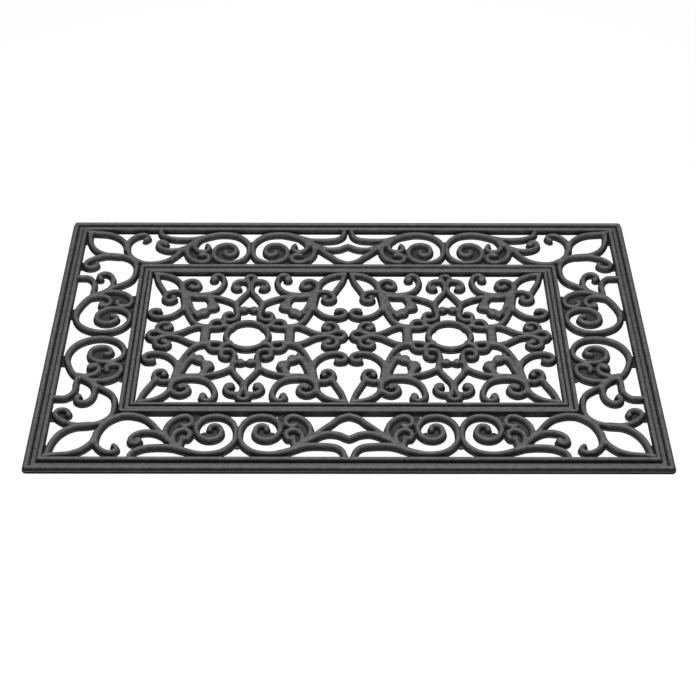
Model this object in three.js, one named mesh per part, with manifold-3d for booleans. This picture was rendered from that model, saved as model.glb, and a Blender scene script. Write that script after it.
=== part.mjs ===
// Scroll doormat, a flat openwork mat of moulded rubber.
// Millimetres. The origin is the middle of the underside, +X runs along the mat and +Z is up.
// The mat is a single moulding: its rails, medallion rings and scroll panels are modelled apart,
// and meet face to face, or across a hair gap where the seam slants.
import * as THREE from 'three';
import { mergeVertices } from 'three/addons/utils/BufferGeometryUtils.js';
import Module from 'manifold-3d';

const wasm = await Module();
wasm.setup();

// Overall sizes
const matLength = 600;
const matWidth = 400;
const matCornerRadius = 4.5;

// Rails: an outer frame at the mat's edge and an inner frame round the middle field
const outerRailWidth = 16.9;
const outerRailHeight = 7.2;
const innerRailWidth = 15;
const innerRailHeight = 7;

// Scroll border: its clear width between the frames
const borderWidth = 62.9;

// Scroll strand, a tapered bead on a flat foot
const strandFootWidth = 6.8;
const strandCrestWidth = 3.2;
const strandHeight = 6.9;

// Thick bars, balls at the ends of the curls, and buds
const barWidth = 10.6;
const budStalkWidth = 9;
const bridgeWidth = 4.6;
const smallBallRadius = 3.6;
const largeBallRadius = 4.8;
const bridgeBallRadius = 5;
const upperBudRadius = 7.2;
const lowerBudRadius = 6.4;

// Making
const seamGap = 0.3;
const overrun = 5;
const ballSides = 6;
const ringSides = 36;
const cornerSteps = 4;
const stepsPerPointShare = 0.5;
const stepsPerRun = 3;

// Sizes that follow
const frameOuterX = matLength / 2;
const frameOuterY = matWidth / 2;
const borderOuterX = frameOuterX - outerRailWidth;
const borderOuterY = frameOuterY - outerRailWidth;
const borderInnerX = borderOuterX - borderWidth;
const borderInnerY = borderOuterY - borderWidth;
const fieldX = borderInnerX - innerRailWidth;
const fieldY = borderInnerY - innerRailWidth;

// The corner motif reaches a little way past the inner frame's corner, along both sides
const cornerReachXShare = 0.189;
const cornerReachYShare = 0.173;
const cornerFromX = borderInnerX - cornerReachXShare * borderWidth;
const cornerFromY = borderInnerY - cornerReachYShare * borderWidth;
const longCellLength = cornerFromX / 2;

// A medallion stands near the middle of each half of the field, and its ring keeps to the field's
// depth. What lies near it keeps its shape when the field is longer or shorter, and the rest of
// the quadrant takes up the difference.
const medallionPlaceShare = 0.4961;
const ringRadiusShare = 0.203;
const quadrantLengthShare = 0.975;
const unstretchedShare = 0.5;
const medallionX = medallionPlaceShare * fieldX;
const ringRadius = ringRadiusShare * fieldY;

// Rail profiles from the frame's outer edge, as shares of the rail's width and height
const outerRailProfileShares = [
  [0, 0], [0, 0.306], [0.071, 0.306], [0.089, 0.639], [0.13, 0.819], [0.189, 0.861],
  [0.254, 0.806], [0.302, 0.625], [0.325, 0.417], [0.657, 0.417], [0.68, 0.667],
  [0.734, 0.889], [0.84, 1], [0.935, 0.944], [0.982, 0.806], [1, 0.583], [1, 0],
];
const innerRailProfileShares = [
  [0, 0], [0, 0.257], [0.053, 0.257], [0.06, 0.6], [0.095, 0.87], [0.16, 1], [0.245, 0.87],
  [0.28, 0.6], [0.613, 0.6], [0.655, 0.78], [0.73, 0.93], [0.813, 1], [0.885, 0.87],
  [0.925, 0.6], [0.947, 0.257], [1, 0.257], [1, 0],
];

// Ridge lines of a field quadrant, from the medallion's centre, as shares of the quadrant
const fieldStrokeShares = {
  stemShares: [
    [0, 0.972], [0.033, 0.96], [0.051, 0.927], [0.051, 0.889], [0.037, 0.851], [0.018, 0.817],
    [0.009, 0.77], [0.012, 0.727], [0.027, 0.689], [0.058, 0.642], [0.097, 0.575],
    [0.127, 0.513], [0.121, 0.442], [0.107, 0.361], [0.11, 0.299], [0.125, 0.266],
    [0.156, 0.245], [0.195, 0.24], [0.227, 0.26], [0.24, 0.295], [0.231, 0.331],
    [0.203, 0.354], [0.174, 0.355],
  ],
  stemCurlShares: [
    [0.044, 0.87], [0.078, 0.877], [0.117, 0.875], [0.151, 0.853], [0.17, 0.816],
    [0.165, 0.775], [0.139, 0.751],
  ],
  loopAndArcShares: [
    [0.364, 0.164], [0.361, 0.195], [0.339, 0.226], [0.302, 0.24], [0.265, 0.231],
    [0.24, 0.202], [0.23, 0.166], [0.249, 0.141], [0.292, 0.13], [0.361, 0.13],
    [0.419, 0.141], [0.473, 0.166], [0.517, 0.202], [0.548, 0.242], [0.575, 0.293],
    [0.599, 0.347], [0.619, 0.404], [0.636, 0.466], [0.646, 0.532], [0.656, 0.599],
    [0.673, 0.684],
  ],
  ringSeatShares: [[0.23, 0.166], [0.16, 0.125]],
  innerArcShares: [
    [0.51, 0.318], [0.528, 0.356], [0.552, 0.397], [0.575, 0.447], [0.591, 0.499],
    [0.603, 0.551], [0.619, 0.608], [0.653, 0.67],
  ],
  crossBranchShares: [
    [0.122, 0.499], [0.18, 0.542], [0.234, 0.575], [0.356, 0.616], [0.487, 0.623],
    [0.556, 0.627], [0.624, 0.651],
  ],
  highScrollShares: [
    [0.378, 0.894], [0.388, 0.927], [0.373, 0.958], [0.339, 0.975], [0.302, 0.963],
    [0.277, 0.927], [0.268, 0.875], [0.276, 0.817], [0.3, 0.756], [0.336, 0.708],
    [0.38, 0.678], [0.439, 0.66], [0.507, 0.654], [0.575, 0.662], [0.634, 0.687],
    [0.676, 0.732], [0.694, 0.784], [0.682, 0.837], [0.643, 0.873], [0.595, 0.884],
    [0.554, 0.865], [0.529, 0.827], [0.53, 0.789], [0.587, 0.765],
  ],
  lowScrollShares: [
    [0.67, 0.65], [0.656, 0.56], [0.656, 0.475], [0.668, 0.428], [0.69, 0.385],
    [0.721, 0.347], [0.76, 0.314], [0.804, 0.291], [0.858, 0.279], [0.912, 0.284],
    [0.954, 0.309], [0.969, 0.347], [0.954, 0.383], [0.897, 0.39],
  ],
  midCurlShares: [
    [0.673, 0.684], [0.712, 0.702], [0.765, 0.705], [0.812, 0.687], [0.844, 0.651],
    [0.858, 0.608], [0.844, 0.57], [0.812, 0.551], [0.776, 0.556], [0.757, 0.59],
  ],
  leafTopShares: [
    [0.692, 0.703], [0.697, 0.76], [0.716, 0.822], [0.75, 0.879], [0.799, 0.927],
    [0.858, 0.96], [0.916, 0.977], [0.965, 0.984],
  ],
  leafSideShares: [
    [0.83, 0.67], [0.877, 0.741], [0.906, 0.803], [0.932, 0.86], [0.947, 0.913],
    [0.96, 0.965], [0.97, 0.989],
  ],
  footBranchShares: [
    [0.458, 0.162], [0.507, 0.148], [0.56, 0.122], [0.609, 0.086], [0.658, 0.05],
    [0.712, 0.029], [0.77, 0.023], [0.824, 0.036], [0.865, 0.071], [0.885, 0.114],
    [0.877, 0.16], [0.843, 0.193], [0.794, 0.198], [0.76, 0.171], [0.78, 0.12],
  ],
  footLoopShares: [
    [0.824, 0.036], [0.863, 0.052], [0.904, 0.063], [0.945, 0.048], [0.968, -0.01],
  ],
  budBridgeShares: [[0.375, 0.447], [0.439, 0.394]],
  budSeatShares: [[0.451, 0.371], [0.541, 0.366]],
};
const fieldBarShares = [[0.414, -0.02], [0.414, 0.133]];
const fieldStalkShares = [[0.363, 0.475], [0.375, 0.532], [0.405, 0.618]];
const fieldBridgeShares = [[-0.02, 0.43], [0.117, 0.43]];
const fieldSmallBallShares = [[0.123, 0.784], [0.77, 0.611], [0.378, 0.901], [0.897, 0.388]];
const fieldLargeBallShares = [[0.595, 0.779], [0.797, 0.114]];
const fieldBridgeBallShares = [[0.052, 0.409]];
const fieldUpperBudShares = [[0.361, 0.471]];
const fieldLowerBudShares = [[0.451, 0.375]];

// Ridge lines of the long border, outward from the line between a pair of facing spirals,
// as shares of the cell's length, and of the border's width from the inner rail
const facingSpiralShares = {
  spiralShares: [
    [0.565, 0.76], [0.498, 0.831], [0.431, 0.879], [0.363, 0.911], [0.291, 0.925],
    [0.21, 0.903], [0.143, 0.855], [0.09, 0.784], [0.049, 0.68], [0.025, 0.537],
    [0.021, 0.362], [0.037, 0.203], [0.092, 0.105], [0.166, 0.057], [0.239, 0.064],
    [0.314, 0.124], [0.363, 0.235], [0.383, 0.356], [0.367, 0.466], [0.328, 0.553],
    [0.277, 0.601], [0.217, 0.595], [0.173, 0.541], [0.151, 0.455], [0.158, 0.356],
    [0.205, 0.318],
  ],
  outerLeafShares: [
    [0.565, 0.736], [0.616, 0.638], [0.646, 0.515], [0.653, 0.394], [0.638, 0.27],
    [0.602, 0.172], [0.557, 0.1], [0.512, 0.057], [0.468, 0.068], [0.435, 0.124],
    [0.424, 0.197], [0.438, 0.27], [0.52, 0.262],
  ],
  innerLeafShares: [
    [0.542, 0.76], [0.572, 0.661], [0.582, 0.564], [0.572, 0.466], [0.542, 0.394],
    [0.498, 0.362], [0.454, 0.394], [0.452, 0.51],
  ],
  leafStemShares: [[0.517, 0.792], [0.507, 0.68], [0.498, 0.569]],
};
const facingSpiralBallShares = [[0.205, 0.318], [0.52, 0.262], [0.452, 0.51]];
const longEndStrokeShares = {
  cornerArmShares: [
    [0.623, 0.633], [0.671, 0.529], [0.704, 0.458], [0.738, 0.347], [0.794, 0.227],
    [0.845, 0.132], [0.904, 0.073], [1, 0.041], [1.064, 0.06],
  ],
  endCurlShares: [
    [0.675, 0.518], [0.734, 0.445], [0.796, 0.42], [0.853, 0.426], [0.911, 0.466],
    [0.951, 0.537], [0.959, 0.625], [0.935, 0.696], [0.876, 0.665],
  ],
  railBranchShares: [
    [0.498, 0.831], [0.565, 0.795], [0.642, 0.781], [0.728, 0.781], [0.805, 0.796],
    [0.863, 0.831], [0.911, 0.887], [0.94, 0.967], [0.944, 1.03],
  ],
};
const longEndBallShares = [[0.876, 0.645]];
const longCentreStrokeShares = {
  railBranchShares: [
    [0.966, 1.03], [0.959, 0.935], [0.944, 0.863], [0.916, 0.804], [0.875, 0.768],
    [0.808, 0.749], [0.731, 0.741], [0.654, 0.744], [0.587, 0.768], [0.52, 0.812],
    [0.453, 0.871], [0.366, 0.916],
  ],
  midBranchShares: [
    [1.029, 0.617], [1, 0.593], [0.962, 0.561], [0.914, 0.51], [0.856, 0.483],
    [0.798, 0.479], [0.741, 0.514], [0.683, 0.577], [0.626, 0.649], [0.578, 0.704],
    [0.53, 0.76],
  ],
  lowBranchShares: [
    [1.03, 0.045], [1, 0.06], [0.947, 0.092], [0.888, 0.156], [0.837, 0.251],
    [0.779, 0.347], [0.725, 0.445], [0.681, 0.521], [0.635, 0.601], [0.587, 0.68],
  ],
};

// Ridge lines of a corner, from the inner frame's outer corner, as shares of the border's width
const cornerStrokeShares = {
  longHookShares: [
    [-0.289, 0.052], [-0.189, 0.041], [-0.083, 0.06], [0.032, 0.129], [0.116, 0.215],
    [0.172, 0.324], [0.203, 0.458], [0.216, 0.569], [0.203, 0.68], [0.153, 0.814],
    [0.076, 0.895], [-0.019, 0.935], [-0.094, 0.903], [-0.118, 0.824], [-0.068, 0.748],
  ],
  leafTopShares: [
    [0.227, 0.267], [0.259, 0.41], [0.272, 0.521], [0.299, 0.633], [0.347, 0.72],
    [0.426, 0.8], [0.533, 0.871], [0.649, 0.924], [0.776, 0.948], [0.903, 0.959],
    [0.998, 0.998],
  ],
  leafSideShares: [
    [0.374, 0.272], [0.496, 0.288], [0.617, 0.312], [0.715, 0.374], [0.789, 0.458],
    [0.851, 0.582], [0.887, 0.68], [0.903, 0.776], [0.911, 0.855], [0.927, 0.967],
  ],
  sideArmShares: [
    [0.068, -0.385], [0.045, -0.273], [0.045, -0.162], [0.052, -0.051], [0.084, 0.052],
    [0.156, 0.156], [0.264, 0.232], [0.374, 0.272], [0.506, 0.288], [0.617, 0.267],
    [0.712, 0.219], [0.8, 0.164], [0.871, 0.092], [0.908, 0.005], [0.871, -0.07],
    [0.792, -0.102], [0.712, -0.078], [0.672, -0.011], [0.69, 0.085],
  ],
};
const cornerBallShares = [[-0.068, 0.748], [0.69, 0.085]];

// Ridge lines of half a short border, as shares of the border's width from the inner rail,
// and of the cell's length from the mat's middle line
const sideStrokeShares = {
  railHookShares: [
    [0.665, 0.604], [0.685, 0.659], [0.692, 0.723], [0.696, 0.791], [0.736, 0.846],
    [0.8, 0.887], [0.879, 0.91], [1.03, 0.917],
  ],
  endHookShares: [
    [0.426, 0.677], [0.391, 0.732], [0.391, 0.805], [0.418, 0.869], [0.463, 0.929],
    [0.529, 0.959], [0.601, 0.95], [0.609, 0.897],
  ],
  spiralShares: [
    [0.633, 0.622], [0.728, 0.576], [0.801, 0.52], [0.863, 0.448], [0.903, 0.357],
    [0.895, 0.274], [0.839, 0.201], [0.752, 0.137], [0.633, 0.081], [0.474, 0.044],
    [0.331, 0.045], [0.219, 0.069], [0.124, 0.119], [0.054, 0.183], [0.033, 0.256],
    [0.068, 0.32], [0.14, 0.371], [0.235, 0.403], [0.331, 0.411], [0.442, 0.396],
    [0.533, 0.357], [0.577, 0.302], [0.55, 0.243], [0.474, 0.207], [0.378, 0.197],
    [0.28, 0.255],
  ],
  outerLeafShares: [
    [0.633, 0.599], [0.553, 0.631], [0.458, 0.653], [0.362, 0.663], [0.251, 0.653],
    [0.153, 0.625], [0.068, 0.576], [0.022, 0.521], [0.029, 0.471], [0.076, 0.444],
    [0.148, 0.437], [0.235, 0.453], [0.235, 0.535],
  ],
  innerLeafShares: [
    [0.665, 0.586], [0.553, 0.595], [0.458, 0.588], [0.386, 0.558], [0.358, 0.517],
    [0.378, 0.474], [0.45, 0.451],
  ],
  cornerArmShares: [
    [0.633, 0.613], [0.521, 0.659], [0.426, 0.7], [0.323, 0.736], [0.219, 0.776],
    [0.129, 0.823], [0.068, 0.878], [0.045, 0.942], [0.045, 1.006], [0.052, 1.07],
  ],
};
const sideBallShares = [[0.609, 0.897], [0.28, 0.275], [0.235, 0.535]];

// A solid for joining and cutting, from a closed geometry
function toSolid(geometry) {
  geometry.deleteAttribute('normal');
  geometry.deleteAttribute('uv');
  const merged = mergeVertices(geometry);
  return new wasm.Manifold(new wasm.Mesh({
    numProp: 3,
    vertProperties: merged.getAttribute('position').array,
    triVerts: Uint32Array.from(merged.index.array),
  }));
}

function toGeometry(solid) {
  const mesh = solid.getMesh();
  const geometry = new THREE.BufferGeometry();
  geometry.setAttribute('position', new THREE.BufferAttribute(mesh.vertProperties, mesh.numProp));
  geometry.setIndex(new THREE.BufferAttribute(mesh.triVerts, 1));
  geometry.computeVertexNormals();
  return geometry;
}

function join(solids) {
  return solids.reduce((whole, solid) => whole.add(solid));
}

// A block of the panel's space, a little taller than the mat, that trims a motif to its cell
function cellBlock(fromX, toX, fromY, toY) {
  const height = outerRailHeight + overrun + overrun;
  const geometry = new THREE.BoxGeometry(toX - fromX, toY - fromY, height);
  geometry.translate((fromX + toX) / 2, (fromY + toY) / 2, outerRailHeight / 2);
  return toSolid(geometry);
}

// Part of a stroke, cut at the same places and squares as the parts before and after it
class StrokeRun extends THREE.Curve {
  constructor(stroke, from, to) {
    super();
    this.stroke = stroke;
    this.from = from;
    this.to = to;
  }

  getPoint(t, target) {
    return this.stroke.getPoint(THREE.MathUtils.lerp(this.from, this.to, t), target);
  }

  getTangent(t, target) {
    return this.stroke.getTangent(THREE.MathUtils.lerp(this.from, this.to, t), target);
  }
}

// A strand's section: the sweep turns the shape's -X up, so height is written as -X
function strandSection(footWidth) {
  const slope = (strandFootWidth - strandCrestWidth) / 2;
  const foot = footWidth / 2;
  return new THREE.Shape([
    new THREE.Vector2(0, -foot),
    new THREE.Vector2(0, foot),
    new THREE.Vector2(-strandHeight, foot - slope),
    new THREE.Vector2(-strandHeight, slope - foot),
  ]);
}

// A strand swept along a stroke in short runs, so that a spiral may close on itself
function strand(points, footWidth) {
  const stroke = new THREE.CatmullRomCurve3(points, false, 'centripetal');
  const steps = Math.ceil((points.length - 1) * stepsPerPointShare);
  const section = strandSection(footWidth);
  const runs = [];
  for (let step = 0; step < steps; step += stepsPerRun) {
    const next = Math.min(step + stepsPerRun, steps);
    const path = new StrokeRun(stroke, step / steps, next / steps);
    runs.push(toSolid(new THREE.ExtrudeGeometry(section, {
      steps: next - step, bevelEnabled: false, extrudePath: path,
    })));
  }
  return join(runs);
}

// The rounded end of a curl, a blunt cone as tall as the strand
function ball(place, radius) {
  const crownShare = 0.7;
  const geometry = new THREE.CylinderGeometry(
    radius * crownShare, radius, strandHeight, ballSides,
  );
  geometry.rotateX(Math.PI / 2);
  geometry.translate(place.x, place.y, strandHeight / 2);
  return toSolid(geometry);
}

function strands(strokeShares, toPlace) {
  return Object.values(strokeShares).map(
    (shares) => strand(shares.map(toPlace), strandFootWidth),
  );
}

function balls(shares, toPlace, radius) {
  return shares.map((share) => ball(toPlace(share), radius));
}

// One quadrant of the field round a medallion, towards the mat's middle or towards its end
function fieldQuadrant(towardsEnd) {
  const length = towardsEnd ? fieldX - medallionX : medallionX;
  const drawnLength = quadrantLengthShare * fieldY;
  const direction = towardsEnd ? 1 : -1;
  const toPlace = ([alongShare, acrossShare]) => {
    const stretchShare = Math.max(0, alongShare - unstretchedShare) / (1 - unstretchedShare);
    const along = alongShare * drawnLength + stretchShare * (length - drawnLength);
    return new THREE.Vector3(medallionX + direction * along, acrossShare * fieldY, 0);
  };
  const motif = join([
    ...strands(fieldStrokeShares, toPlace),
    strand(fieldBarShares.map(toPlace), barWidth),
    strand(fieldStalkShares.map(toPlace), budStalkWidth),
    strand(fieldBridgeShares.map(toPlace), bridgeWidth),
    ...balls(fieldSmallBallShares, toPlace, smallBallRadius),
    ...balls(fieldLargeBallShares, toPlace, largeBallRadius),
    ...balls(fieldBridgeBallShares, toPlace, bridgeBallRadius),
    ...balls(fieldUpperBudShares, toPlace, upperBudRadius),
    ...balls(fieldLowerBudShares, toPlace, lowerBudRadius),
  ]);
  const farX = medallionX + direction * length;
  const cell = cellBlock(Math.min(medallionX, farX), Math.max(medallionX, farX), 0, fieldY);
  return toGeometry(motif.intersect(cell).subtract(medallionClearance()));
}

// The ring at a medallion's centre, with the strand's section
function medallionRing() {
  const foot = strandFootWidth / 2;
  const crest = strandCrestWidth / 2;
  const geometry = new THREE.LatheGeometry([
    new THREE.Vector2(ringRadius - foot, 0),
    new THREE.Vector2(ringRadius + foot, 0),
    new THREE.Vector2(ringRadius + crest, strandHeight),
    new THREE.Vector2(ringRadius - crest, strandHeight),
    new THREE.Vector2(ringRadius - foot, 0),
  ], ringSides);
  geometry.rotateX(Math.PI / 2);
  geometry.translate(medallionX, 0, 0);
  return toGeometry(toSolid(geometry));
}

// The space of the medallion ring and the hair gap round it
function medallionClearance() {
  const radius = ringRadius + strandFootWidth / 2 + seamGap;
  const geometry = new THREE.LatheGeometry([
    new THREE.Vector2(0, -overrun),
    new THREE.Vector2(radius, -overrun),
    new THREE.Vector2(radius, strandHeight + overrun),
    new THREE.Vector2(0, strandHeight + overrun),
  ], ringSides);
  geometry.rotateX(Math.PI / 2);
  geometry.translate(medallionX, 0, 0);
  return toSolid(geometry);
}

// A quarter of the long border beside the mat's middle, or beside its corner
function longScroll(towardsEnd) {
  const direction = towardsEnd ? 1 : -1;
  const toPlace = ([alongShare, acrossShare]) => new THREE.Vector3(
    longCellLength + direction * alongShare * longCellLength,
    borderInnerY + acrossShare * borderWidth,
    0,
  );
  const motif = join([
    ...strands(facingSpiralShares, toPlace),
    ...balls(facingSpiralBallShares, toPlace, smallBallRadius),
    ...strands(towardsEnd ? longEndStrokeShares : longCentreStrokeShares, toPlace),
    ...balls(towardsEnd ? longEndBallShares : [], toPlace, largeBallRadius),
  ]);
  const fromX = towardsEnd ? longCellLength : 0;
  const cell = cellBlock(fromX, fromX + longCellLength, borderInnerY, borderOuterY);
  return toGeometry(motif.intersect(cell));
}

// The border's corner, an L-shaped cell round the inner frame's corner
function cornerScroll() {
  const toPlace = ([alongShare, acrossShare]) => new THREE.Vector3(
    borderInnerX + alongShare * borderWidth,
    borderInnerY + acrossShare * borderWidth,
    0,
  );
  const motif = join([
    ...strands(cornerStrokeShares, toPlace),
    ...balls(cornerBallShares, toPlace, smallBallRadius),
  ]);
  const cell = cellBlock(cornerFromX, borderOuterX, cornerFromY, borderOuterY);
  const frameCorner = cellBlock(
    cornerFromX - overrun, borderInnerX, cornerFromY - overrun, borderInnerY,
  );
  return toGeometry(motif.intersect(cell).subtract(frameCorner));
}

// Half of a short border, from the mat's middle line to the corner's cell
function sideScroll() {
  const toPlace = ([acrossShare, alongShare]) => new THREE.Vector3(
    borderInnerX + acrossShare * borderWidth,
    alongShare * cornerFromY,
    0,
  );
  const motif = join([
    ...strands(sideStrokeShares, toPlace),
    ...balls(sideBallShares, toPlace, smallBallRadius),
  ]);
  return toGeometry(motif.intersect(cellBlock(borderInnerX, borderOuterX, 0, cornerFromY)));
}

// One side of a frame, mitred at both ends. The profile is swept along X at the frame's +Y side.
function frameRail(profileShares, width, height, halfLength, halfWidth) {
  const profile = new THREE.Shape(
    profileShares.map(([widthShare, heightShare]) => (
      new THREE.Vector2(widthShare * width, heightShare * height)
    )),
  );
  const geometry = new THREE.ExtrudeGeometry(profile, { depth: 1, bevelEnabled: false });
  const setback = seamGap / Math.SQRT2;
  const position = geometry.getAttribute('position');
  for (let index = 0; index < position.count; index += 1) {
    const inward = position.getX(index);
    const up = position.getY(index);
    const end = position.getZ(index) > 0 ? -1 : 1;
    position.setXYZ(index, end * (halfLength - inward - setback), halfWidth - inward, up);
  }
  return toSolid(geometry);
}

// The mat's outline with its rounded corners
function outlineBlock(halfLength, halfWidth) {
  const x = halfLength - matCornerRadius;
  const y = halfWidth - matCornerRadius;
  const quarter = Math.PI / 2;
  const outline = new THREE.Shape();
  outline.absarc(x, y, matCornerRadius, 0, quarter);
  outline.absarc(-x, y, matCornerRadius, quarter, Math.PI);
  outline.absarc(-x, -y, matCornerRadius, Math.PI, Math.PI + quarter);
  outline.absarc(x, -y, matCornerRadius, Math.PI + quarter, Math.PI * 2);
  const geometry = new THREE.ExtrudeGeometry(outline, {
    depth: outerRailHeight + overrun, bevelEnabled: false, curveSegments: cornerSteps,
  });
  return toSolid(geometry);
}

function outerRail(halfLength, halfWidth) {
  const rail = frameRail(
    outerRailProfileShares, outerRailWidth, outerRailHeight, halfLength, halfWidth,
  );
  return toGeometry(rail.intersect(outlineBlock(halfLength, halfWidth)));
}

function innerRail(halfLength, halfWidth) {
  return toGeometry(frameRail(
    innerRailProfileShares, innerRailWidth, innerRailHeight, halfLength, halfWidth,
  ));
}

function rubber() {
  return new THREE.MeshStandardMaterial({ color: 0x55565a, roughness: 0.62, metalness: 0 });
}

const group = new THREE.Group();

function add(name, geometry, turn, mirrorX, mirrorY) {
  const mesh = new THREE.Mesh(geometry, rubber());
  mesh.name = name;
  mesh.rotation.z = turn;
  mesh.scale.set(mirrorX, mirrorY, 1);
  group.add(mesh);
}

// The mat is alike left and right, and front and back
const sidesX = [['left', -1], ['right', 1]];
const sidesY = [['front', -1], ['back', 1]];

function addToLongSides(name, geometry) {
  sidesY.forEach(([side, sign]) => add(`${name}_${side}`, geometry, 0, 1, sign));
}

function addToShortSides(name, geometry) {
  sidesX.forEach(([side, sign]) => add(`${name}_${side}`, geometry, -Math.PI / 2, 1, sign));
}

function addToQuarters(name, geometry) {
  sidesX.forEach(([sideX, signX]) => sidesY.forEach(([sideY, signY]) => {
    add(`${name}_${sideX}_${sideY}`, geometry, 0, signX, signY);
  }));
}

addToLongSides('outer_rail', outerRail(frameOuterX, frameOuterY));
addToShortSides('outer_rail', outerRail(frameOuterY, frameOuterX));
addToLongSides('inner_rail', innerRail(borderInnerX, borderInnerY));
addToShortSides('inner_rail', innerRail(borderInnerY, borderInnerX));
sidesX.forEach(([side, sign]) => add(`medallion_ring_${side}`, medallionRing(), 0, sign, 1));
addToQuarters('field_scroll_middle', fieldQuadrant(false));
addToQuarters('field_scroll_end', fieldQuadrant(true));
addToQuarters('long_scroll_middle', longScroll(false));
addToQuarters('long_scroll_end', longScroll(true));
addToQuarters('corner_scroll', cornerScroll());
addToQuarters('side_scroll', sideScroll());

export default group;
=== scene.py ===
import math

import bpy
import numpy as np
from bpy.props import FloatProperty, FloatVectorProperty, IntProperty, PointerProperty
from mathutils import Matrix, Vector
from mathutils.geometry import delaunay_2d_cdt


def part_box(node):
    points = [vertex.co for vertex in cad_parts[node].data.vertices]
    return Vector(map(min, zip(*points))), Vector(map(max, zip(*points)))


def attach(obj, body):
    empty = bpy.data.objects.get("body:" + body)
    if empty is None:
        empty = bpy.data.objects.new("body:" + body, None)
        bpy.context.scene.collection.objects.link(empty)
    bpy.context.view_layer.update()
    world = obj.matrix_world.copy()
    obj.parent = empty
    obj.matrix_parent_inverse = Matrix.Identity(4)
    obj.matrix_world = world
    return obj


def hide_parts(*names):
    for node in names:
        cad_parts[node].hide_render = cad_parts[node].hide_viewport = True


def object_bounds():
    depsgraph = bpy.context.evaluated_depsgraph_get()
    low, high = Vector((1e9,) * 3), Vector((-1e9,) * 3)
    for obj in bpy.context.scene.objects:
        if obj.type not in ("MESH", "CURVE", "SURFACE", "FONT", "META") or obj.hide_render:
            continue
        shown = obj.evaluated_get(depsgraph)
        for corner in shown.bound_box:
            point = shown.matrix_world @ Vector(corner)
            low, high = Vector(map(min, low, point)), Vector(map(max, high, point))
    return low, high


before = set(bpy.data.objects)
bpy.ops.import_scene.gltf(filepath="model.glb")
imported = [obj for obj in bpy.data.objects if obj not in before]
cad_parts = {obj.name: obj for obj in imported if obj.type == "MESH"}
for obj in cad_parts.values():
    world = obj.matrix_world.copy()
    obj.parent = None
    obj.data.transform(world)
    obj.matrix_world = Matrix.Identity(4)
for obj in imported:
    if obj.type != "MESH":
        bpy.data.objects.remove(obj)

bl_info = {
    "name": "Scroll Doormat",
    "version": (1, 0, 0),
    "blender": (4, 5, 0),
    "location": "3D View > Sidebar > Doormat",
    "description": "Builds a moulded rubber scroll doormat round its packed frame",
    "category": "Add Mesh",
}

CAD_LOW, CAD_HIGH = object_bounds()
BODY = "root"
WHITE = (1, 1, 1, 1)

# The axis that a mirror image is flipped along
X, Y = 0, 1

# Where mirrored pieces go: the end of the node's name, and the signs of X and Y
LEFT_RIGHT = (("left", -1, 1), ("right", 1, 1))
FRONT_BACK = (("front", 1, -1), ("back", 1, 1))

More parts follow.
